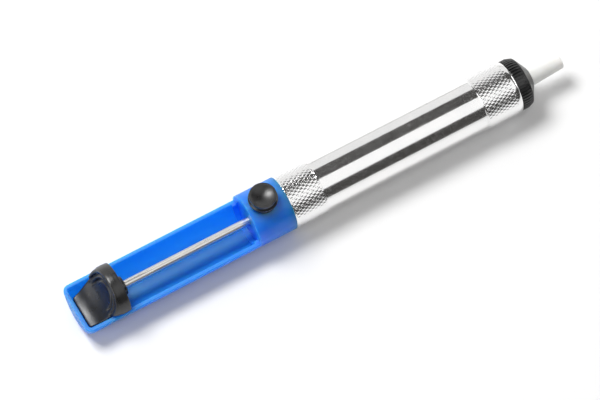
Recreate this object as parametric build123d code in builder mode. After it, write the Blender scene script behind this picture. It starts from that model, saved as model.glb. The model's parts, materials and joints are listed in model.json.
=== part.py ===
from build123d import *
import os

# Spring-loaded desoldering pump, in millimetres.
# It lies along X with the nozzle towards +X and the release button up (+Z), plunger released.
# The origin is on the surface that it lies on, at the middle of its length and width.

# ---- Driving dimensions -------------------------------------------------------------------

# Lengths along the pump
overall_length = 195.75
trough_length = 68.15
collar_length = 14.65
barrel_length = 92.3
cap_ring_length = 4.5
cap_cone_length = 3.0
plunger_travel = 49.0

# Stations along X, from the thumb end to the nozzle's tip
x_rear = -overall_length / 2
x_tip = overall_length / 2
x_collar = x_rear + trough_length
x_joint = x_collar + collar_length
x_barrel_end = x_joint + barrel_length
x_cap_shoulder = x_barrel_end + cap_ring_length
x_cap_nose = x_cap_shoulder + cap_cone_length

# Handle moulding
axis_height = 10.0
handle_radius = 10.0
handle_wall = 1.5
trough_radius = handle_radius - handle_wall
rear_draft = 7.0
rear_corner_radius = 2.6
rim_level = -0.35
rim_rounding = 0.3
ledge_radius = 7.8
ledge_length = 2.0
end_wall_setback = 0.7
spigot_radius = 8.2
spigot_length = 10.0
bush_seat_radius = 3.0
bush_length = 8.0
bumper_length = 2.0
bumper_radius = 7.6
bumper_bore_radius = 4.5
thread_depth = 0.5
thread_pitch = 1.25
thread_root_share = 0.1

# Barrel
barrel_radius = 9.7
barrel_bore_radius = 8.25
knurl_radius = 10.0
knurl_length = 12.7
barrel_lip_length = 1.8
barrel_lip_drop = 0.8
knurl_chamfer = 0.25

# Front cap and what it clamps
cap_ring_radius = 9.6
cap_ring_chamfer = 0.3
cap_ring_flat = 2.5
cap_shoulder_radius = 8.9
cap_nose_radius = 4.0
cap_spigot_inner_radius = 6.4
rib_count = 50
rib_gap = 0.6
rib_depth = 0.7
rib_end_web = 0.25
seal_section = 0.5
seal_offset = 1.8
seal_groove_half_width = 0.6
seal_land = 0.2
seal_land_slope = 0.4
thread_end_setback = 1.5
nozzle_radius = 3.5
nozzle_tip_radius = 2.7
nozzle_bore_radius = 1.25
nozzle_flange_radius = 6.0
nozzle_flange_length = 2.0
nozzle_entry_chamfer = 0.6
nozzle_tip_chamfer = 0.3
gasket_radius = 6.2
gasket_thickness = 0.7
gasket_bore_radius = 2.2
seat_radius = 6.3
seat_thickness = 0.8

# Plunger
rod_radius = 1.5
running_gap = 0.05
press_gap = 0.02
bush_end_gap = 0.2
knob_front = x_joint - 65.3
knob_rear = x_joint - 80.75
knob_disc_radius = 9.8
knob_body_radius = 8.2
knob_rim_gap = 0.3
knob_shoulder_length = 9.8
knob_shoulder_rounding = 3.5
knob_edge_rounding = 0.5
knob_boss_radius = 3.6
knob_boss_length = 2.0
scoop_radius = 12.7
scoop_stretch = 1.9
scoop_setback = 1.6
scoop_height = 7.7
groove_radii = (7.5, 5.6)
groove_width = 0.8
groove_depth = 0.6
piston_gap = 0.1
piston_length = 9.9
piston_radius = 7.9
piston_ring_section = 0.8
piston_ring_radius = 7.4
piston_ring_setback = 5.4
ring_groove_play = 0.04
piston_hub_radius = 3.6
piston_skirt_radius = 6.2
piston_recess_depth = 3.0
piston_chamfer = 0.4
clip_radius = 3.0
clip_thickness = 0.7
clip_mouth = 1.8
clip_groove_depth = 0.4
washer_radius = 3.5
washer_thickness = 0.6
nut_across_flats = 5.5
nut_length = 2.4
rod_end_beyond_nut = 1.0
rod_end_chamfer = 0.3
rod_seat_in_knob = 3.7
needle_radius = 0.9
needle_point_radius = 0.4
needle_point_length = 1.2
needle_seat_depth = 6.0

# Release button and its latch
x_button = x_joint - 8.1
button_top = 14.6
button_head_radius = 4.85
button_head_thickness = 1.2
button_neck_radius = 4.5
button_skirt_radius = 5.25
button_skirt_top = 13.1
button_skirt_bottom = 11.6
button_stem_radius = 4.3
button_stem_bottom = 7.0
button_dish_radius = 9.0
button_dish_rim = 0.9
button_rim_rounding = 0.3
pocket_radius = 4.4
pocket_floor = 3.5
button_travel = 1.5
plate_thickness = 1.2
plate_width = 6.4
plate_bottom = -4.5
plate_socket = 2.5
slot_clearance = 0.2
window_width = 3.4
latch_gap = 0.1
notch_depth = 0.8
notch_length = 1.6
notch_ramp = 1.5

# Springs
main_spring_radius = 5.6
main_spring_wire = 0.4
main_spring_coils = 16
button_spring_radius = 3.7
button_spring_wire = 0.25
button_spring_coils = 3
seat_gap = 0.05

# Tolerance for picking out edges and corners at a known place
pick = 0.01

# ---- Planes and shared shapes -------------------------------------------------------------

pump_axis = Axis((0, 0, axis_height), (1, 0, 0))
# The pump's long section: local x is X, local y is the height over the axis
side = Plane((0, 0, axis_height), x_dir=(1, 0, 0), z_dir=(0, -1, 0))
# Its cross-section: local x is Y, local y is the height over the axis
across = Plane((0, 0, axis_height), x_dir=(0, 1, 0), z_dir=(1, 0, 0))


def station(x):
    """The cross-section plane at a station along X."""
    return across.offset(x)


def level(height):
    """The horizontal plane at a height over the pump's axis."""
    return Plane.XY.offset(axis_height + height)


def turned_ring(x_start, x_end, outer, inner):
    """A plain ring or washer on the pump's axis."""
    with BuildPart() as ring:
        with BuildSketch(station(x_start)):
            Circle(outer)
            Circle(inner, mode=Mode.SUBTRACT)
        extrude(amount=x_end - x_start)
    return ring.part


def seal_ring(x, radius, section):
    """An O-ring on the pump's axis."""
    with BuildPart() as ring:
        with BuildSketch(side):
            with Locations((x, radius)):
                Circle(section)
        revolve(axis=pump_axis)
    return ring.part


def coil_spring(seat, height, radius, wire, coils):
    """A helical spring that stands on a seat plane and ends a wire's radius short of each seat."""
    rise = height - 2 * wire
    start = seat.offset(wire)
    with BuildPart() as spring:
        with BuildLine():
            turns = Helix(
                pitch=rise / coils,
                height=rise,
                radius=radius,
                center=start.origin,
                direction=seat.z_dir,
            )
        with BuildSketch(Plane(turns @ 0, z_dir=turns % 0)):
            Circle(wire)
        sweep(path=turns, is_frenet=True)
    return spring.part


def threaded_profile(x_start, x_end, crest, root, pitch):
    """Outline points of a V-ridged spigot, from its start to its end."""
    points = []
    flat = thread_root_share * pitch
    count = int((x_end - x_start) / pitch)
    for turn in range(count):
        x = x_start + turn * pitch
        points += [(x + flat, root), (x + pitch / 2, crest), (x + pitch - flat, root)]
    return points


def finish(part, name):
    """Label a piece and write it under its node's name."""
    part.label = name
    export_step(part, f"parts/{name}.step")


os.makedirs("parts", exist_ok=True)

# ---- Handle: half-round trough, collar and threaded spigot ----------------------------------

end_wall = x_collar + end_wall_setback
spigot_end = x_joint + spigot_length
bush_start = spigot_end - bush_length
spigot_root = spigot_radius - thread_depth
cut_reach = 1.1 * handle_radius

with BuildPart() as handle:
    with BuildSketch(side):
        with BuildLine():
            Polyline(
                (x_rear, 0),
                (x_rear, handle_radius),
                (x_joint, handle_radius),
                (x_joint, spigot_root),
                *threaded_profile(x_joint, spigot_end, spigot_radius, spigot_root, thread_pitch),
                (spigot_end, spigot_root),
                (spigot_end, 0),
                close=True,
            )
        outline = make_face()
        rear_corner = outline.vertices().group_by(Axis.X)[0].sort_by(Axis.Z)[-1]
        fillet(rear_corner, radius=rear_corner_radius)
    revolve(axis=pump_axis)
    # The rear face leans in below the rims
    rear_face = Plane((x_rear, 0, axis_height + rim_level), x_dir=(0, 1, 0), z_dir=(1, 0, 0))
    split(bisect_by=rear_face.rotated((0, rear_draft, 0)), keep=Keep.TOP)
    # The trough's inside, with a ledge before the collar's end wall
    with BuildSketch(side):
        with BuildLine():
            Polyline(
                (x_rear + handle_wall, 0),
                (x_rear + handle_wall, trough_radius),
                (end_wall - ledge_length, trough_radius),
                (end_wall - ledge_length, ledge_radius),
                (end_wall, ledge_radius),
                (end_wall, 0),
                close=True,
            )
        hollow = make_face()
        inner_corner = hollow.vertices().group_by(Axis.X)[0].sort_by(Axis.Z)[-1]
        fillet(inner_corner, radius=rear_corner_radius - handle_wall)
    revolve(axis=pump_axis, mode=Mode.SUBTRACT)
    # Everything above the rims is open, back from the collar
    with BuildSketch(level(rim_level)):
        with Locations((x_collar, 0)):
            Rectangle(overall_length, 2 * cut_reach, align=(Align.MAX, Align.CENTER))
    extrude(amount=cut_reach, mode=Mode.SUBTRACT)
    rim_height = axis_height + rim_level
    rims = handle.edges().filter_by_position(Axis.Z, rim_height - pick, rim_height + pick)
    fillet(rims.filter_by_position(Axis.X, 2 * x_rear, x_collar - handle_wall), radius=rim_rounding)
    # Rod hole, and the seat of its bush
    with BuildSketch(station(end_wall - handle_wall)):
        Circle(rod_radius + 2 * running_gap)
    extrude(amount=spigot_end - end_wall + 2 * handle_wall, mode=Mode.SUBTRACT)
    with BuildSketch(station(bush_start)):
        Circle(bush_seat_radius)
    extrude(amount=bush_length, mode=Mode.SUBTRACT)
    # Button pocket, and the slot below it for the latch plate
    with BuildSketch(level(pocket_floor)):
        with Locations((x_button, 0)):
            Circle(pocket_radius)
    extrude(amount=handle_radius, mode=Mode.SUBTRACT)
    slot_bottom = plate_bottom - button_travel - slot_clearance
    with BuildSketch(level(slot_bottom)):
        with Locations((x_button, 0)):
            Rectangle(plate_thickness + 2 * slot_clearance, plate_width + 2 * slot_clearance)
    extrude(amount=pocket_floor - slot_bottom, mode=Mode.SUBTRACT)

finish(handle.part, "handle")

rod_guide_bush = turned_ring(
    bush_start, spigot_end - bush_end_gap, bush_seat_radius - press_gap, rod_radius + running_gap
)
finish(rod_guide_bush, "rod_guide_bush")

bumper_front = spigot_end + bumper_length
recoil_bumper = turned_ring(spigot_end, bumper_front, bumper_radius, bumper_bore_radius)
finish(recoil_bumper, "recoil_bumper")

# ---- Barrel: smooth tube with a raised grip band at each end ---------------------------------

front_band_end = x_barrel_end - barrel_lip_length
front_band_start = front_band_end - knurl_length

with BuildPart() as barrel:
    with BuildSketch(side):
        with BuildLine():
            Polyline(
                (front_band_end, knurl_radius),
                (front_band_start + knurl_chamfer, knurl_radius),
                (front_band_start, barrel_radius),
                (x_joint + knurl_length, barrel_radius),
                (x_joint + knurl_length - knurl_chamfer, knurl_radius),
                (x_joint + knurl_chamfer, knurl_radius),
                (x_joint, knurl_radius - knurl_chamfer),
                (x_joint, barrel_bore_radius),
                (x_barrel_end, barrel_bore_radius),
                (x_barrel_end, knurl_radius - barrel_lip_drop),
            )
            EllipticalCenterArc(
                (front_band_end, knurl_radius - barrel_lip_drop),
                barrel_lip_length,
                barrel_lip_drop,
                start_angle=0,
                arc_size=90,
            )
        make_face()
    revolve(axis=pump_axis)

finish(barrel.part, "barrel")

# ---- Front cap, nozzle and their seals ------------------------------------------------------

cap_spigot_start = x_barrel_end - spigot_length
flange_front = x_barrel_end + nozzle_flange_length
seal_x = x_barrel_end - seal_offset
seal_centre_radius = spigot_radius - seal_section
seal_groove_rear = seal_x - seal_groove_half_width
seal_groove_front = seal_x + seal_groove_half_width
seal_groove_radius = spigot_radius - 2 * seal_section
seal_land_rear = seal_groove_rear - seal_land
cap_thread_root = spigot_radius - thread_depth
gasket_rear = x_barrel_end - gasket_thickness
seat_rear = gasket_rear - seat_thickness

with BuildPart() as front_cap:
    with BuildSketch(side):
        with BuildLine():
            Polyline(
                (cap_spigot_start, cap_spigot_inner_radius),
                *threaded_profile(
                    cap_spigot_start,
                    seal_x - thread_end_setback,
                    spigot_radius,
                    cap_thread_root,
                    thread_pitch,
                ),
                (seal_land_rear - seal_land_slope, cap_thread_root),
                (seal_land_rear, spigot_radius),
                (seal_groove_rear, spigot_radius),
                (seal_groove_rear, seal_groove_radius),
                (seal_groove_front, seal_groove_radius),
                (seal_groove_front, spigot_radius),
                (x_barrel_end, spigot_radius),
                (x_barrel_end, cap_ring_radius - cap_ring_chamfer),
                (x_barrel_end + cap_ring_chamfer, cap_ring_radius),
                (x_barrel_end + cap_ring_flat, cap_ring_radius),
                (x_cap_shoulder, cap_shoulder_radius),
                (x_cap_nose, cap_nose_radius),
                (x_cap_nose, nozzle_radius + running_gap),
                (flange_front, nozzle_radius + running_gap),
                (flange_front, cap_spigot_inner_radius),
                close=True,
            )
        make_face()
    revolve(axis=pump_axis)
    # Grip ribs: gaps are cut all round the ring
    with BuildSketch(station(x_barrel_end)):
        with PolarLocations(cap_ring_radius, rib_count):
            Rectangle(2 * rib_depth, rib_gap)
    extrude(amount=cap_ring_length - rib_end_web, mode=Mode.SUBTRACT)

finish(front_cap.part, "front_cap")

front_cap_o_ring = seal_ring(seal_x, seal_centre_radius, seal_section)
finish(front_cap_o_ring, "front_cap_o_ring")

with BuildPart() as nozzle_tip:
    with BuildSketch(side):
        with BuildLine():
            Polyline(
                (x_barrel_end, nozzle_bore_radius + nozzle_entry_chamfer),
                (x_barrel_end, nozzle_flange_radius),
                (flange_front, nozzle_flange_radius),
                (flange_front, nozzle_radius),
                (x_cap_nose, nozzle_radius),
                (x_tip - nozzle_tip_chamfer, nozzle_tip_radius),
                (x_tip, nozzle_tip_radius - nozzle_tip_chamfer),
                (x_tip, nozzle_bore_radius),
                (x_barrel_end + nozzle_entry_chamfer, nozzle_bore_radius),
                close=True,
            )
        make_face()
    revolve(axis=pump_axis)

finish(nozzle_tip.part, "nozzle_tip")

nozzle_gasket = turned_ring(gasket_rear, x_barrel_end, gasket_radius, gasket_bore_radius)
finish(nozzle_gasket, "nozzle_gasket")

spring_seat_washer = turned_ring(seat_rear, gasket_rear, seat_radius, gasket_bore_radius)
finish(spring_seat_washer, "spring_seat_washer")

# ---- Plunger: rod, knob, piston and cleaning needle -----------------------------------------

piston_rear = bumper_front + piston_gap
piston_front = piston_rear + piston_length
clip_rear = piston_rear - clip_thickness
washer_front = piston_front + washer_thickness
rod_front = washer_front + nut_length + rod_end_beyond_nut
rod_rear = knob_front - rod_seat_in_knob
needle_rear = rod_front - needle_seat_depth
rod_groove_rear = clip_rear - running_gap
rod_groove_radius = rod_radius - clip_groove_depth
# The notch's front wall stands just ahead of the latch plate when the plunger is cocked
notch_front = x_button + plate_thickness / 2 + latch_gap - plunger_travel
notch_rear = notch_front - notch_length
notch_top = -rod_radius + notch_depth

with BuildPart() as plunger_rod:
    with BuildSketch(side):
        with BuildLine():
            Polyline(
                (rod_rear, 0),
                (rod_rear, rod_radius),
                (rod_groove_rear, rod_radius),
                (rod_groove_rear, rod_groove_radius),
                (piston_rear, rod_groove_radius),
                (piston_rear, rod_radius),
                (rod_front - rod_end_chamfer, rod_radius),
                (rod_front, rod_radius - rod_end_chamfer),
                (rod_front, 0),
                close=True,
            )
        make_face()
    revolve(axis=pump_axis)
    with BuildSketch(station(needle_rear)):
        Circle(needle_radius + press_gap)
    extrude(amount=needle_seat_depth, mode=Mode.SUBTRACT)
    # Latch notch in the underside: square at the front, ramped at the back
    with BuildSketch(side):
        with BuildLine():
            Polyline(
                (notch_front, -2 * rod_radius),
                (notch_front, notch_top),
                (notch_rear, notch_top),
                (notch_rear - notch_ramp, -rod_radius - notch_depth),
                (notch_rear - notch_ramp, -2 * rod_radius),
                close=True,
            )
        make_face()
    extrude(amount=2 * rod_radius, both=True, mode=Mode.SUBTRACT)

finish(plunger_rod.part, "plunger_rod")

scoop_centre = (knob_rear - scoop_setback, 0, axis_height + scoop_height)

with BuildPart(mode=Mode.PRIVATE) as scoop:
    Sphere(scoop_radius)
    scale(by=(1, scoop_stretch, 1))
with BuildPart(mode=Mode.PRIVATE) as groove_limit:
    Sphere(scoop_radius + groove_depth)
    scale(by=(1, scoop_stretch, 1))
scoop_shape = Pos(*scoop_centre) * scoop.part
groove_limit_shape = Pos(*scoop_centre) * groove_limit.part

with BuildPart() as grip_grooves:
    with BuildSketch(station(knob_rear)):
        for radius in groove_radii:
            Circle(radius + groove_width / 2)
            Circle(radius - groove_width / 2, mode=Mode.SUBTRACT)
    extrude(amount=knob_front - knob_rear)
    split(bisect_by=level(0), keep=Keep.TOP)
    add(groove_limit_shape, mode=Mode.INTERSECT)

with BuildPart() as thumb_knob:
    # Disc and shoulder: this half is above the rims, and as wide as the handle
    with BuildSketch(side):
        with Locations((knob_front, 0)):
            Rectangle(knob_shoulder_length, knob_disc_radius, align=(Align.MAX, Align.MIN))
        top_corners = vertices().group_by(Axis.Z)[-1].sort_by(Axis.X)
        fillet(top_corners[0], radius=knob_shoulder_rounding)
        fillet(top_corners[-1], radius=knob_edge_rounding)
    revolve(axis=pump_axis)
    split(bisect_by=level(rim_level + knob_rim_gap), keep=Keep.TOP)
    # Body: it runs inside the trough
    with BuildSketch(side):
        with Locations((knob_front, 0)):
            Rectangle(knob_front - knob_rear, knob_body_radius, align=(Align.MAX, Align.MIN))
        body_corners = vertices().group_by(Axis.Z)[-1]
        fillet(body_corners, radius=knob_edge_rounding)
    revolve(axis=pump_axis)
    with BuildSketch(station(knob_front)):
        Circle(knob_boss_radius)
    extrude(amount=knob_boss_length)
    add(scoop_shape, mode=Mode.SUBTRACT)
    add(grip_grooves.part, mode=Mode.SUBTRACT)
    with BuildSketch(station(rod_rear)):
        Circle(rod_radius + press_gap)
    extrude(amount=knob_front + knob_boss_length - rod_rear, mode=Mode.SUBTRACT)

finish(thumb_knob.part, "thumb_knob")

ring_x = piston_rear + piston_ring_setback
ring_groove = piston_ring_section + ring_groove_play
groove_rear = ring_x - ring_groove
groove_front = ring_x + ring_groove
groove_bottom = piston_ring_radius - piston_ring_section

with BuildPart() as piston:
    # The rear face has a ring-shaped recess between the hub and the skirt
    with BuildSketch(side):
        with BuildLine():
            Polyline(
                (piston_rear, rod_radius + running_gap),
                (piston_rear, piston_hub_radius),
                (piston_rear + piston_recess_depth, piston_hub_radius),
                (piston_rear + piston_recess_depth, piston_skirt_radius),
                (piston_rear, piston_skirt_radius),
                (piston_rear, piston_radius - piston_chamfer),
                (piston_rear + piston_chamfer, piston_radius),
                (groove_rear, piston_radius),
                (groove_rear, groove_bottom),
                (groove_front, groove_bottom),
                (groove_front, piston_radius),
                (piston_front - piston_chamfer, piston_radius),
                (piston_front, piston_radius - piston_chamfer),
                (piston_front, rod_radius + running_gap),
                close=True,
            )
        make_face()
    revolve(axis=pump_axis)

finish(piston.part, "piston")

piston_o_ring = seal_ring(ring_x, piston_ring_radius, piston_ring_section)
finish(piston_o_ring, "piston_o_ring")

# Open-ended clip that keeps the piston from sliding back along the rod
with BuildPart() as piston_clip:
    with BuildSketch(station(clip_rear)):
        Circle(clip_radius)
        Circle(rod_groove_radius + running_gap, mode=Mode.SUBTRACT)
        Rectangle(clip_mouth, 2 * clip_radius, align=(Align.CENTER, Align.MAX), mode=Mode.SUBTRACT)
    extrude(amount=clip_thickness - running_gap)

finish(piston_clip.part, "piston_clip")

piston_washer = turned_ring(piston_front, washer_front, washer_radius, rod_radius + running_gap)
finish(piston_washer, "piston_washer")

with BuildPart() as piston_nut:
    with BuildSketch(station(washer_front)):
        RegularPolygon(nut_across_flats / 2, 6, major_radius=False)
        Circle(rod_radius + press_gap, mode=Mode.SUBTRACT)
    extrude(amount=nut_length)

finish(piston_nut.part, "piston_nut")

needle_tip = x_tip - plunger_travel

with BuildPart() as cleaning_needle:
    with BuildSketch(side):
        with BuildLine():
            Polyline(
                (needle_rear, 0),
                (needle_rear, needle_radius),
                (needle_tip - needle_point_length, needle_radius),
                (needle_tip, needle_point_radius),
                (needle_tip, 0),
                close=True,
            )
        make_face()
    revolve(axis=pump_axis)

finish(cleaning_needle.part, "cleaning_needle")

# ---- Release button and latch ---------------------------------------------------------------

plate_top = button_stem_bottom + plate_socket
head_bottom = button_top - button_head_thickness
skirt_shoulder = button_skirt_radius - button_neck_radius

dish_edge = button_head_radius - button_dish_rim
dish_rise = (button_dish_radius**2 - dish_edge**2) ** 0.5
dish_bottom = button_top + dish_rise - button_dish_radius

button_section = Plane((x_button, 0, axis_height), x_dir=(1, 0, 0), z_dir=(0, -1, 0))

with BuildPart() as release_button:
    # Stem, skirt, neck, and a head with a ball-shaped hollow inside a narrow rim
    with BuildSketch(button_section):
        with BuildLine():
            Polyline(
                (0, dish_bottom),
                (0, button_stem_bottom),
                (button_stem_radius, button_stem_bottom),
                (button_stem_radius, button_skirt_bottom),
                (button_skirt_radius, button_skirt_bottom),
                (button_skirt_radius, button_skirt_top - skirt_shoulder),
                (button_neck_radius, button_skirt_top),
                (button_neck_radius, head_bottom),
                (button_head_radius, head_bottom),
                (button_head_radius, button_top),
                (dish_edge, button_top),
            )
            RadiusArc((dish_edge, button_top), (0, dish_bottom), button_dish_radius)
        head = make_face()
        rim_x = x_button + button_head_radius
        rim_corners = head.vertices().filter_by_position(Axis.X, rim_x - pick, rim_x + pick)
        fillet(rim_corners, radius=button_rim_rounding)
    revolve(axis=Axis((x_button, 0, 0), (0, 0, 1)))
    with BuildSketch(level(button_stem_bottom)):
        with Locations((x_button, 0)):
            Rectangle(plate_thickness, plate_width)
    extrude(amount=plate_socket, mode=Mode.SUBTRACT)

finish(release_button.part, "release_button")

window_bottom = -rod_radius - latch_gap
window_top = rod_radius + latch_gap + button_travel

with BuildPart() as latch_plate:
    with BuildSketch(station(x_button - plate_thickness / 2)):
        with Locations((0, plate_bottom)):
            Rectangle(plate_width, plate_top - plate_bottom, align=(Align.CENTER, Align.MIN))
        with Locations((0, window_bottom)):
            Rectangle(
                window_width,
                window_top - window_bottom,
                align=(Align.CENTER, Align.MIN),
                mode=Mode.SUBTRACT,
            )
    extrude(amount=plate_thickness)

finish(latch_plate.part, "latch_plate")

# ---- Springs ---------------------------------------------------------------------------------

main_spring = coil_spring(
    station(piston_front + seat_gap),
    seat_rear - piston_front - 2 * seat_gap,
    main_spring_radius,
    main_spring_wire,
    main_spring_coils,
)
finish(main_spring, "main_spring")

button_spring = coil_spring(
    Plane((x_button, 0, axis_height + pocket_floor + seat_gap)),
    button_stem_bottom - pocket_floor - 2 * seat_gap,
    button_spring_radius,
    button_spring_wire,
    button_spring_coils,
)
finish(button_spring, "button_spring")
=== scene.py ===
import json
from math import cos, floor, pi, radians, sin, tan

import bpy
import numpy as np
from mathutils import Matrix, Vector

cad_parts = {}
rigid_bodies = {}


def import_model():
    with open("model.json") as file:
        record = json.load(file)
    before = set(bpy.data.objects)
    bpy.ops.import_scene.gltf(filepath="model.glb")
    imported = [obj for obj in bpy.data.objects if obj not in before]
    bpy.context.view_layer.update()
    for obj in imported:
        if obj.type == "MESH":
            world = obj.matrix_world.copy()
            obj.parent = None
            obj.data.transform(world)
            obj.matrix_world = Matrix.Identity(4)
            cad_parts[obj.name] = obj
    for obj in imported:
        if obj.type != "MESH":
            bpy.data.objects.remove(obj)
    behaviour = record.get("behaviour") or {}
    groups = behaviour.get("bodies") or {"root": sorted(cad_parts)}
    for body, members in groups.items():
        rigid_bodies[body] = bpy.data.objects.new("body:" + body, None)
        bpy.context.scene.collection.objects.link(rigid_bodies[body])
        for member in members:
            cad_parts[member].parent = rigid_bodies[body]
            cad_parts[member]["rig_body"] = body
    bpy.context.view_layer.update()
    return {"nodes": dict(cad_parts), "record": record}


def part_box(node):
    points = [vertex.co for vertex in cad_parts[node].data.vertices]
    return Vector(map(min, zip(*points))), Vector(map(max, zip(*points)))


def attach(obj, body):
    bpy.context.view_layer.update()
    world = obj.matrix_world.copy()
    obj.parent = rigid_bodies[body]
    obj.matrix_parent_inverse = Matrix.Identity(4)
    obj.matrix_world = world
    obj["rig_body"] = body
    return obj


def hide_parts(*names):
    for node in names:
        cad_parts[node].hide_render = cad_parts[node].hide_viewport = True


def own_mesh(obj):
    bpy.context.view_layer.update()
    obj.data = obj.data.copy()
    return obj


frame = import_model()
nodes = frame["nodes"]
scene = bpy.context.scene

MM = 0.001

# ---- Places taken from the frame ------------------------------------------------------------

barrel_low, barrel_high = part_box("barrel")
spring_low, spring_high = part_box("main_spring")
lift_low, lift_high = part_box("button_spring")
knob_low, knob_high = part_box("thumb_knob")
slots = {entry["node"]: entry["material_slot"] for entry in frame["record"]["subparts"]}
axis_z = (barrel_low[2] + barrel_high[2]) / 2
body_radius = (barrel_high[1] - barrel_low[1]) / 2


# ---- Materials --------------------------------------------------------------------------------

NOISE_LOW, NOISE_HIGH = 0.3, 0.7    # most of a noise texture's values lie between these
SPECK_CORE = 0.6                    # share of a speck's radius that is at full strength


class Finish:
    """A procedural material: a Principled shader, and short calls that add and join nodes.

    Its colour and roughness start uniform, and textures may then take their places.
    """

    def __init__(self, name, colour, roughness, metallic=0.0, **sockets):
        self.material = bpy.data.materials.new(name)
        self.material.use_nodes = True
        self.tree = self.material.node_tree
        self.shader = self.tree.nodes["Principled BSDF"]
        self.shader.inputs["Base Color"].default_value = (*colour, 1)
        self.shader.inputs["Roughness"].default_value = roughness
        self.shader.inputs["Metallic"].default_value = metallic
        for socket, value in sockets.items():
            self.shader.inputs[socket.replace("_", " ")].default_value = value
        self.place = self.add("ShaderNodeTexCoord").outputs["Object"]
        self.height = None

    def add(self, kind, **inputs):
        """A new node, with its inputs set or joined by name."""
        node = self.tree.nodes.new(kind)
        for socket, value in inputs.items():
            self.put(node.inputs[socket.replace("_", " ")], value)
        return node

    def put(self, socket, value):
        if isinstance(value, bpy.types.NodeSocket):
            self.tree.links.new(value, socket)
        else:
            socket.default_value = value

    def stretched(self, scale):
        """The object's place with each axis scaled, for grain that runs one way."""
        return self.add("ShaderNodeMapping", Vector=self.place, Scale=scale).outputs["Vector"]

    def noise(self, scale, detail=3.0, stretch=(1, 1, 1)):
        node = self.add("ShaderNodeTexNoise", Vector=self.stretched(stretch), Scale=scale)
        node.inputs["Detail"].default_value = detail
        return node.outputs["Fac"]

    def between(self, value, low, high, to_low, to_high):
        """value, remapped from low..high to to_low..to_high and held there."""
        node = self.add("ShaderNodeMapRange", Value=value)
        ends = {"From Min": low, "From Max": high, "To Min": to_low, "To Max": to_high}
        for socket, number in ends.items():
            node.inputs[socket].default_value = number
        return node.outputs["Result"]

    def spread(self, noise, to_low, to_high):
        """A noise texture's usual range, stretched over to_low..to_high."""
        return self.between(noise, NOISE_LOW, NOISE_HIGH, to_low, to_high)

    def math(self, operation, a, b=0.0):
        node = self.tree.nodes.new("ShaderNodeMath")
        node.operation = operation
        self.put(node.inputs[0], a)
        self.put(node.inputs[1], b)
        return node.outputs["Value"]

    def mix(self, factor, a, b):
        """Colour a where factor is 0, b where it is 1."""
        node = self.tree.nodes.new("ShaderNodeMix")
        node.data_type = "RGBA"
        self.put(node.inputs["Factor"], factor)
        self.put(node.inputs["A"], a)
        self.put(node.inputs["B"], b)
        return node.outputs["Result"]

    def scratches(self, scale, angle, length=30.0, width=0.012):
        """Thin hairline marks: the zero line of noise that is drawn out along one direction."""
        turned = self.add("ShaderNodeMapping", Vector=self.place, Rotation=angle).outputs["Vector"]
        drawn = self.add("ShaderNodeMapping", Vector=turned, Scale=(1, length, length)).outputs["Vector"]
        lines = self.add("ShaderNodeTexNoise", Vector=drawn, Scale=scale)
        lines.inputs["Detail"].default_value = 1.0
        near = self.math("ABSOLUTE", self.math("SUBTRACT", lines.outputs["Fac"], 0.5))
        return self.between(near, 0.0, width, 1.0, 0.0)

    def specks(self, scale, size):
        """Small round dust grains, scattered at random."""
        cells = self.add("ShaderNodeTexVoronoi", Vector=self.place, Scale=scale)
        return self.between(cells.outputs["Distance"], size * SPECK_CORE, size, 1.0, 0.0)

    def colour(self, value):
        self.put(self.shader.inputs["Base Color"], value)

    def roughness(self, value, marks=None, added=0.0):
        """The roughness, raised by added where there are marks."""
        if marks is not None:
            value = self.math("ADD", value, self.math("MULTIPLY", marks, added))
        self.put(self.shader.inputs["Roughness"], value)

    def bump(self, height, distance, strength=1.0):
        """Adds a layer of relief over those before it. distance is in metres, like MM."""
        node = self.add("ShaderNodeBump", Height=height, Distance=distance, Strength=strength)
        if self.height is not None:
            self.put(node.inputs["Normal"], self.height)
        self.height = node.outputs["Normal"]
        self.put(self.shader.inputs["Normal"], self.height)


def blue_plastic():
    finish = Finish(
        "blue_moulding", (0.01, 0.2, 0.86), 0.4, IOR=1.5,
        Subsurface_Weight=1.0, Subsurface_Radius=(0.35, 0.6, 1.0), Subsurface_Scale=12 * MM,
    )
    drift = finish.noise(55, detail=2.0, stretch=(0.3, 1, 1))
    deep, light = (0.006, 0.18, 0.85, 1), (0.012, 0.215, 0.9, 1)
    finish.colour(finish.mix(finish.spread(drift, 0, 1), deep, light))
    haze = finish.noise(420, detail=4.0)
    rubbed = finish.scratches(260, (0.1, 0.2, 0.5))
    finish.roughness(finish.spread(haze, 0.34, 0.46), marks=rubbed, added=0.2)
    finish.bump(finish.noise(70, detail=1.0, stretch=(0.25, 1, 1)), 0.12 * MM, 0.6)
    finish.bump(finish.noise(2600, detail=2.0), 0.006 * MM, 0.6)
    return finish.material


def black_plastic():
    finish = Finish("black_moulding", (0.012, 0.012, 0.0125), 0.3, IOR=1.6)
    haze = finish.noise(300, detail=4.0)
    dust = finish.specks(2200, 0.16)
    clean, dusty = (0.011, 0.011, 0.0115, 1), (0.16, 0.155, 0.15, 1)
    finish.colour(finish.mix(finish.math("MULTIPLY", dust, 0.25), clean, dusty))
    marks = finish.scratches(420, (0.3, 0.9, 0.2))
    finish.roughness(finish.spread(haze, 0.24, 0.38), marks=marks, added=0.15)
    finish.bump(finish.noise(520, detail=3.0), 0.04 * MM, 0.5)
    finish.bump(finish.noise(1900, detail=3.0), 0.01 * MM, 0.6)
    return finish.material


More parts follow.
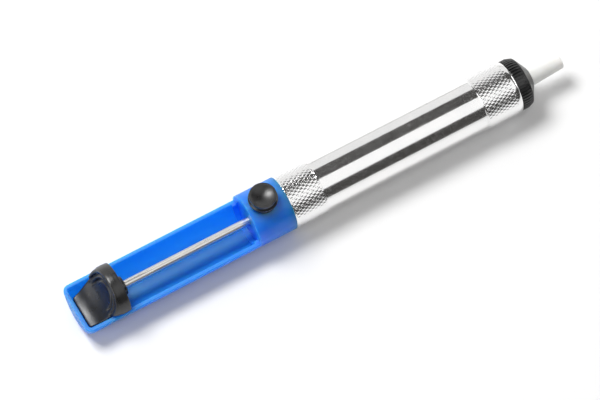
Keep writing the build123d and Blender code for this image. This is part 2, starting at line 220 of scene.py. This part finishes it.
def polished_aluminium():
    finish = Finish("polished_aluminium", (0.93, 0.93, 0.93), 0.12, metallic=1.0)
    cloud = finish.noise(90, detail=3.0)
    grey, pale = (0.91, 0.91, 0.91, 1), (0.95, 0.945, 0.94, 1)
    finish.colour(finish.mix(finish.between(cloud, 0.35, 0.65, 0, 1), grey, pale))
    fine = finish.noise(900, detail=4.0, stretch=(0.3, 1, 1))
    lengthwise = finish.scratches(700, (0, 0, 0.03), length=14, width=0.02)
    finish.roughness(finish.spread(fine, 0.08, 0.15), marks=lengthwise, added=0.2)
    finish.bump(finish.noise(1400, detail=3.0), 0.008 * MM, 0.7)
    return finish.material


def drawn_steel(name, colour, roughness):
    finish = Finish(name, colour, roughness, metallic=1.0)
    drawn = finish.noise(1600, detail=3.0, stretch=(0.03, 1, 1))
    finish.roughness(finish.spread(drawn, roughness * 0.7, roughness * 1.3))
    stain = finish.noise(160, detail=4.0, stretch=(0.4, 1, 1))
    dull = tuple(0.78 * c for c in colour)
    finish.colour(finish.mix(finish.between(stain, 0.5, 0.75, 0, 1), (*colour, 1), (*dull, 1)))
    finish.bump(drawn, 0.012 * MM, 0.6)
    return finish.material


def white_plastic():
    finish = Finish(
        "white_nozzle", (0.86, 0.86, 0.84), 0.42, IOR=1.38,
        Subsurface_Weight=0.35, Subsurface_Radius=(1.0, 0.9, 0.8), Subsurface_Scale=1.5 * MM,
    )
    cloud = finish.noise(240, detail=3.0)
    clean, stained = (0.88, 0.88, 0.865, 1), (0.82, 0.815, 0.79, 1)
    finish.colour(finish.mix(finish.between(cloud, 0.35, 0.7, 0, 1), clean, stained))
    finish.roughness(finish.spread(finish.noise(700, detail=3.0), 0.36, 0.5))
    finish.bump(finish.noise(1500, detail=2.0, stretch=(1, 0.2, 0.2)), 0.01 * MM, 0.6)
    return finish.material


def plain_rubber():
    finish = Finish("seal_rubber", (0.02, 0.02, 0.02), 0.75)
    finish.roughness(finish.spread(finish.noise(900, detail=3.0), 0.65, 0.85))
    finish.bump(finish.noise(2400, detail=2.0), 0.02 * MM, 0.7)
    return finish.material


finishes = {
    "blue_plastic": blue_plastic(),
    "black_plastic": black_plastic(),
    "dark_plastic": black_plastic(),
    "polished_aluminium": polished_aluminium(),
    "steel": drawn_steel("drawn_steel", (0.78, 0.765, 0.74), 0.3),
    "brass": drawn_steel("turned_brass", (0.76, 0.58, 0.28), 0.3),
    "white_plastic": white_plastic(),
    "rubber": plain_rubber(),
}


def dress(piece, material):
    piece.data.materials.clear()
    piece.data.materials.append(material)


EDGE_WIDTH = 0.12 * MM
EDGE_ANGLE = radians(32)    # edges sharper than this are rounded


def soften(piece):
    """Rounds a CAD node's sharp edges with a modifier, so that they catch the light."""
    piece.data.shade_smooth()
    bevel = piece.modifiers.new("soft_edges", "BEVEL")
    bevel.width = EDGE_WIDTH
    bevel.segments = 2
    bevel.limit_method = "ANGLE"
    bevel.angle_limit = EDGE_ANGLE
    bevel.harden_normals = True


for name, node in nodes.items():
    dress(node, finishes[slots[name]])
    soften(node)


# ---- Mesh helpers -------------------------------------------------------------------------------


def piece_from(name, vertices, faces, node, slot):
    """A mesh piece in the frame that stands for a CAD node and rides on its body."""
    mesh = bpy.data.meshes.new(name)
    mesh.from_pydata(vertices, [], faces)
    mesh.shade_smooth()
    piece = bpy.data.objects.new(name, mesh)
    scene.collection.objects.link(piece)
    dress(piece, finishes[slot])
    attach(piece, nodes[node]["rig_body"])
    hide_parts(node)
    return piece


def ring_faces(rings, around):
    """Quads that close a stack of rings into one surface, the last ring joined to the first."""
    faces = []
    for i in range(rings):
        a, b = i * around, ((i + 1) % rings) * around
        for j in range(around):
            k = (j + 1) % around
            faces.append((a + j, b + j, b + k, a + k))
    return faces


# ---- Barrel: a turned tube whose two bands carry a diamond knurl ----------------------------------

KNURL_STARTS = 48            # grooves of each hand round the barrel
KNURL_ANGLE = radians(30)    # of each groove to the barrel's axis
KNURL_DEPTH = 0.1 * MM
LAND = 0.36                  # share of the pitch that is left uncut
BARREL_SHARP = radians(50)   # an edge sharper than this keeps a crease in the shading
SAMPLES_PER_GROOVE = 10      # points round the barrel from one groove to the next
RINGS_PER_PITCH = 6          # rings along a band in one pitch
AROUND = KNURL_STARTS * SAMPLES_PER_GROOVE
BAND_HEIGHT = 0.3 * MM       # of a band's crown over the smooth tube
BORE_DEPTH = 1.75 * MM       # from a band's crown in to the bore
knurl_pitch = 2 * pi * body_radius / KNURL_STARTS
smooth_radius = body_radius - BAND_HEIGHT
bore_radius = body_radius - BORE_DEPTH
band_length = 12.7 * MM
band_fade = 0.5 * MM         # the knurl's depth fades out over this length at a band's ends
shoulder_run = 0.15 * MM     # from a band's crown down to the smooth tube
rear_chamfer = 0.15 * MM
lip_length = 1.8 * MM
lip_drop = 0.8 * MM
LIP_STEPS = 8


def groove(phase):
    """1 at the bottom of a V groove, 0 on the land between grooves."""
    off_centre = abs(phase - floor(phase) - 0.5) * 2
    return max(0.0, (off_centre - LAND) / (1 - LAND))


def knurl_drop(x, angle, start, end):
    """How far the knurl cuts below the band's crown at a place on it."""
    turn = angle / (2 * pi) * KNURL_STARTS
    along = (x - start) * tan(KNURL_ANGLE) / knurl_pitch
    cut = max(groove(turn + along), groove(turn - along))
    edge = min((x - start) / band_fade, (end - x) / band_fade, 1.0)
    return KNURL_DEPTH * cut * max(edge, 0.0)


def band_stations(band):
    """The closely spaced rings of one knurled band."""
    start, end = band
    count = round((end - start) / knurl_pitch * RINGS_PER_PITCH)
    return [(start + (end - start) * i / count, body_radius, band) for i in range(count + 1)]


def barrel_stations():
    """(x, radius, band or None) along the outside, from the handle's end to the lip."""
    x0, x1 = barrel_low[0], barrel_high[0]
    rear_band = (x0 + rear_chamfer, x0 + band_length)
    front_band = (x1 - lip_length - band_length, x1 - lip_length)
    tube = (
        rear_band[1] + shoulder_run, rear_band[1] + 2 * shoulder_run,
        front_band[0] - 2 * shoulder_run, front_band[0] - shoulder_run,
    )
    stations = [(x0, body_radius - rear_chamfer, None)]
    stations += band_stations(rear_band)
    stations += [(x, smooth_radius, None) for x in tube]
    stations += band_stations(front_band)
    for i in range(1, LIP_STEPS + 1):
        turn = pi / 2 * i / LIP_STEPS
        x = front_band[1] + lip_length * sin(turn)
        stations.append((x, body_radius - lip_drop * (1 - cos(turn)), None))
    return stations


def build_barrel():
    rings = barrel_stations()
    rings += [(barrel_high[0], bore_radius, None), (barrel_low[0], bore_radius, None)]
    vertices = []
    for x, radius, band in rings:
        for j in range(AROUND):
            angle = 2 * pi * j / AROUND
            r = radius - (knurl_drop(x, angle, *band) if band else 0.0)
            vertices.append((x, r * cos(angle), axis_z + r * sin(angle)))
    faces = ring_faces(len(rings), AROUND)
    barrel = piece_from("barrel_knurled", vertices, faces, "barrel", "polished_aluminium")
    barrel.data.set_sharp_from_angle(angle=BARREL_SHARP)


build_barrel()


# ---- Thumb knob: disc, rounded shoulder and scooped body with two grip grooves ---------------------

# Its sizes are in millimetres. x runs along the pump from the knob's rear end, and z is the height
# over the axis.
BOSS_LENGTH, BOSS_RADIUS = 2.0, 3.6
DISC_LENGTH = 4.25
SHOULDER_LENGTH, SHOULDER_RADIUS = 9.8, 9.55
SHOULDER_RUN, SHOULDER_DROP = 5.6, 3.5
BODY_RADIUS = 8.2
UPPER_FLOOR = -0.05
SCOOP_RADIUS, SCOOP_STRETCH = 12.7, 1.9
SCOOP_BACK, SCOOP_HEIGHT = 1.6, 7.7
GROOVE_RADII = (7.5, 5.6)
GROOVE_WIDTH, GROOVE_DEPTH = 0.8, 0.6
ROD_RECESS_RADIUS, ROD_RECESS_DEPTH = 1.8, 0.3
EDGE, SOFT_EDGE, FILLET = 0.35, 0.5, 0.25
NET_STEP = 0.17
SETTLE_ROUNDS = 3
LEAST_SLOPE = 0.2    # squared, and it keeps a point from leaping where the field is nearly flat
disc_radius = (knob_high[1] - knob_low[1]) / 2 / MM
knob_length = (knob_high[0] - knob_low[0]) / MM - BOSS_LENGTH


def overlap(a, b, rounding):
    """Where both fields are below zero, with the edge between them rounded."""
    return (a + b + np.sqrt((a - b) ** 2 + rounding**2)) / 2


def union(a, b, rounding):
    """Where either field is below zero, with a fillet between them."""
    return (a + b - np.sqrt((a - b) ** 2 + rounding**2)) / 2


def slab(x, start, end):
    return np.abs(x - (start + end) / 2) - (end - start) / 2


def scoop_field(x, y, z):
    """The hollow for the thumb, a stretched ball, with the two grooves cut deeper into its wall."""
    out = np.hypot(y, z)
    ball = np.sqrt((x + SCOOP_BACK) ** 2 + (y / SCOOP_STRETCH) ** 2 + (z - SCOOP_HEIGHT) ** 2)
    upper_half = np.clip((z + GROOVE_WIDTH) / (2 * GROOVE_WIDTH), 0, 1)
    for radius in GROOVE_RADII:
        ball = ball - GROOVE_DEPTH * upper_half * np.exp(-((out - radius) / (GROOVE_WIDTH / 2)) ** 2)
    return ball - SCOOP_RADIUS


def knob_field(x, y, z):
    """Below zero inside the knob, above zero outside it."""
    out = np.hypot(y, z)
    disc = overlap(out - disc_radius, slab(x, knob_length - DISC_LENGTH, knob_length), EDGE)
    behind = np.maximum(knob_length - SHOULDER_LENGTH + SHOULDER_RUN - x, 0) / SHOULDER_RUN
    above = np.maximum(out - SHOULDER_RADIUS + SHOULDER_DROP, 0) / SHOULDER_DROP
    shoulder = np.maximum((np.hypot(behind, above) - 1) * SHOULDER_DROP, x - knob_length + DISC_LENGTH / 2)
    upper = overlap(union(disc, shoulder, FILLET), UPPER_FLOOR - z, EDGE)
    body = overlap(out - BODY_RADIUS, slab(x, 0, knob_length), SOFT_EDGE)
    boss_span = slab(x, knob_length - BOSS_LENGTH, knob_length + BOSS_LENGTH)
    boss = overlap(out - BOSS_RADIUS, boss_span, EDGE)
    solid = union(union(upper, body, FILLET), boss, FILLET)
    solid = overlap(solid, -scoop_field(x, y, z), SOFT_EDGE)
    recess = np.maximum(out - ROD_RECESS_RADIUS, knob_length + BOSS_LENGTH - ROD_RECESS_DEPTH - x)
    return np.maximum(solid, -recess)


def surface_net(field):
    """The zero surface of a sampled field: a point in each crossed cell, a quad on each crossed edge."""
    cells = tuple(n - 1 for n in field.shape)
    total = np.zeros((*cells, 3))
    hits = np.zeros(cells)
    edges = []
    for axis in range(3):
        first, second = (axis + 1) % 3, (axis + 2) % 3
        a = np.take(field, range(cells[axis]), axis)
        b = np.take(field, range(1, cells[axis] + 1), axis)
        crossed = (a < 0) != (b < 0)
        share = np.where(crossed, a / np.where(crossed, a - b, 1), 0)
        for i in (0, 1):
            for j in (0, 1):
                part = [slice(None)] * 3
                part[first] = slice(i, i + cells[first])
                part[second] = slice(j, j + cells[second])
                hit = crossed[tuple(part)]
                hits += hit
                total[..., axis] += share[tuple(part)]
                total[..., first] += i * hit
                total[..., second] += j * hit
        edges.append((axis, first, second, np.argwhere(crossed), a[crossed] < 0))
    used = hits > 0
    number = np.cumsum(used).reshape(cells) - 1
    points = np.argwhere(used) + total[used] / hits[used][:, None]
    quads = []
    for axis, first, second, places, outward in edges:
        corners = []
        for i, j in ((1, 1), (0, 1), (0, 0), (1, 0)):
            cell = places.copy()
            cell[:, first] -= i
            cell[:, second] -= j
            corners.append(number[tuple(cell.T)])
        around = np.stack(corners, axis=1)
        quads.append(np.where(outward[:, None], around, around[:, ::-1]))
    return points, np.concatenate(quads)


def settle(points):
    """Moves points onto the knob's true surface, along its slope."""
    tiny = NET_STEP / 10
    for _ in range(SETTLE_ROUNDS):
        value = knob_field(*points.T)
        rises = [knob_field(*(points + tiny * way).T) - value for way in np.eye(3)]
        slope = np.stack(rises, axis=1) / tiny
        step = value / np.maximum((slope**2).sum(axis=1), LEAST_SLOPE)
        points = points - slope * step[:, None]
    return points


def build_knob():
    margin = 3 * NET_STEP
    sides = [
        (-margin, knob_length + BOSS_LENGTH + margin),
        (-disc_radius - margin, disc_radius + margin),
        (-BODY_RADIUS - margin, disc_radius + margin),
    ]
    axes = [np.arange(low, high, NET_STEP) for low, high in sides]
    points, quads = surface_net(knob_field(*np.meshgrid(*axes, indexing="ij")))
    corner = np.array([low for low, high in sides])
    points = settle(points * NET_STEP + corner)
    points = points * MM + np.array((knob_low[0], 0, axis_z))
    piece_from("thumb_knob_moulded", points.tolist(), quads.tolist(), "thumb_knob", slots["thumb_knob"])


build_knob()


# ---- Springs, wound at their length in the frame ---------------------------------------------------

COIL_STEPS, WIRE_SIDES = 40, 8      # rings in a turn, and corners in a ring
END_TURNS = 1.5                     # closed turns at each end
MAIN_RADIUS, MAIN_WIRE, MAIN_TURNS = 5.6 * MM, 0.4 * MM, 17
LIFT_RADIUS, LIFT_WIRE, LIFT_TURNS = 3.7 * MM, 0.25 * MM, 4


def coil(name, node, centre, along, side, length, radius, wire, turns):
    """A round-wire compression spring with flat end turns. wire is the wire's radius."""
    up = along.cross(side)
    open_turns = turns - 2 * END_TURNS
    total = turns * COIL_STEPS
    vertices = []
    for i in range(total + 1):
        turn = i / COIL_STEPS
        opened = min(max((turn - END_TURNS) / open_turns, 0.0), 1.0)
        closed = min(turn, END_TURNS) + max(turn - (turns - END_TURNS), 0.0)
        rise = wire + closed * 2 * wire + opened * (length - 2 * wire - 2 * END_TURNS * 2 * wire)
        out = side * cos(2 * pi * turn) + up * sin(2 * pi * turn)
        spine = centre + along * rise + out * radius
        for j in range(WIRE_SIDES):
            angle = 2 * pi * j / WIRE_SIDES
            vertices.append(spine + out * (wire * cos(angle)) + along * (wire * sin(angle)))
    faces = ring_faces(total + 1, WIRE_SIDES)[:-WIRE_SIDES]
    last = total * WIRE_SIDES
    faces += [tuple(range(WIRE_SIDES)), tuple(reversed(range(last, last + WIRE_SIDES)))]
    return piece_from(name, [tuple(v) for v in vertices], faces, node, "steel")


spring_length = spring_high[0] - spring_low[0]
spring_rear = Vector((spring_low[0], 0, axis_z))
main_coil = coil(
    "main_spring_coil", "main_spring", spring_rear, Vector((1, 0, 0)), Vector((0, 1, 0)),
    spring_length, MAIN_RADIUS, MAIN_WIRE, MAIN_TURNS,
)
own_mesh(main_coil)

lift_length = lift_high[2] - lift_low[2]
lift_centre = Vector(((lift_low[0] + lift_high[0]) / 2, 0, lift_low[2]))
lift_coil = coil(
    "button_spring_coil", "button_spring", lift_centre, Vector((0, 0, 1)), Vector((1, 0, 0)),
    lift_length, LIFT_RADIUS, LIFT_WIRE, LIFT_TURNS,
)
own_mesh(lift_coil)


# ---- Floor, light and camera ------------------------------------------------------------------------

FLOOR_REACH = 6.0
LIGHT_TARGET = Vector((0, 0, 0.01))
KEY_DIRECTION, KEY_DISTANCE = Vector((-0.25, 0.42, 0.88)), 1.5
ROOM_COLOUR = (0.062, 0.06, 0.058, 1)


def plain_floor():
    mesh = bpy.data.meshes.new("floor")
    corners = [(x * FLOOR_REACH, y * FLOOR_REACH, 0) for x, y in ((-1, -1), (1, -1), (1, 1), (-1, 1))]
    mesh.from_pydata(corners, [], [(0, 1, 2, 3)])
    floor_plane = bpy.data.objects.new("floor", mesh)
    scene.collection.objects.link(floor_plane)
    finish = Finish("pale_floor", (0.9, 0.9, 0.9), 0.7)
    finish.roughness(finish.spread(finish.noise(40, detail=2.0), 0.65, 0.75))
    dress(floor_plane, finish.material)


def softbox(name, place, size, radiance):
    """A rectangular area light that faces the pump. radiance is what it looks like in a mirror."""
    light = bpy.data.lights.new(name, "AREA")
    light.shape = "RECTANGLE"
    light.size, light.size_y = size
    light.energy = radiance * pi * size[0] * size[1]
    lamp = bpy.data.objects.new(name, light)
    lamp.location = place
    lamp.rotation_euler = (LIGHT_TARGET - Vector(place)).to_track_quat("-Z", "Y").to_euler()
    lamp.visible_camera = False
    scene.collection.objects.link(lamp)


def over_pump(x, angle, distance):
    """A place at x along the pump. angle is in degrees from straight up, positive to the far side."""
    return (x, distance * sin(radians(angle)), axis_z + distance * cos(radians(angle)))


plain_floor()
softbox("key_light", KEY_DIRECTION.normalized() * KEY_DISTANCE, size=(0.6, 0.6), radiance=17)
softbox("back_softbox", over_pump(x=0.1, angle=66, distance=0.7), size=(1.6, 0.56), radiance=0.8)
softbox("top_softbox", over_pump(x=0.3, angle=-26.5, distance=1.6), size=(1.9, 1.26), radiance=0.98)
softbox("left_softbox", (-1.3, 0, 0.5), size=(1.0, 0.8), radiance=2.0)
softbox("right_softbox", (1.6, 0, 0.5), size=(1.0, 0.8), radiance=2.0)

world = bpy.data.worlds.new("dim_room")
scene.world = world
world.use_nodes = True
world.node_tree.nodes["Background"].inputs["Color"].default_value = ROOM_COLOUR
scene.view_settings.view_transform = "Standard"

CAMERA_AZIMUTH = radians(-29.7)
CAMERA_ELEVATION = radians(64.3)
CAMERA_DISTANCE = 1.4
CAMERA_NEAR, CAMERA_FAR = 0.01, 20
CAMERA_LENS, SENSOR_WIDTH = 240.6, 36      # both in millimetres
CAMERA_TARGET = Vector((-9.445 * MM, -1.84 * MM, axis_z))


def place_camera():
    level = cos(CAMERA_ELEVATION)
    back = Vector((sin(CAMERA_AZIMUTH) * level, -cos(CAMERA_AZIMUTH) * level, sin(CAMERA_ELEVATION)))
    data = bpy.data.cameras.new("photo_camera")
    data.lens = CAMERA_LENS
    data.sensor_width = SENSOR_WIDTH
    data.clip_start, data.clip_end = CAMERA_NEAR, CAMERA_FAR
    camera = bpy.data.objects.new("photo_camera", data)
    camera.location = CAMERA_TARGET + back * CAMERA_DISTANCE
    camera.rotation_euler = back.to_track_quat("Z", "Y").to_euler()
    scene.collection.objects.link(camera)
    scene.camera = camera


place_camera()
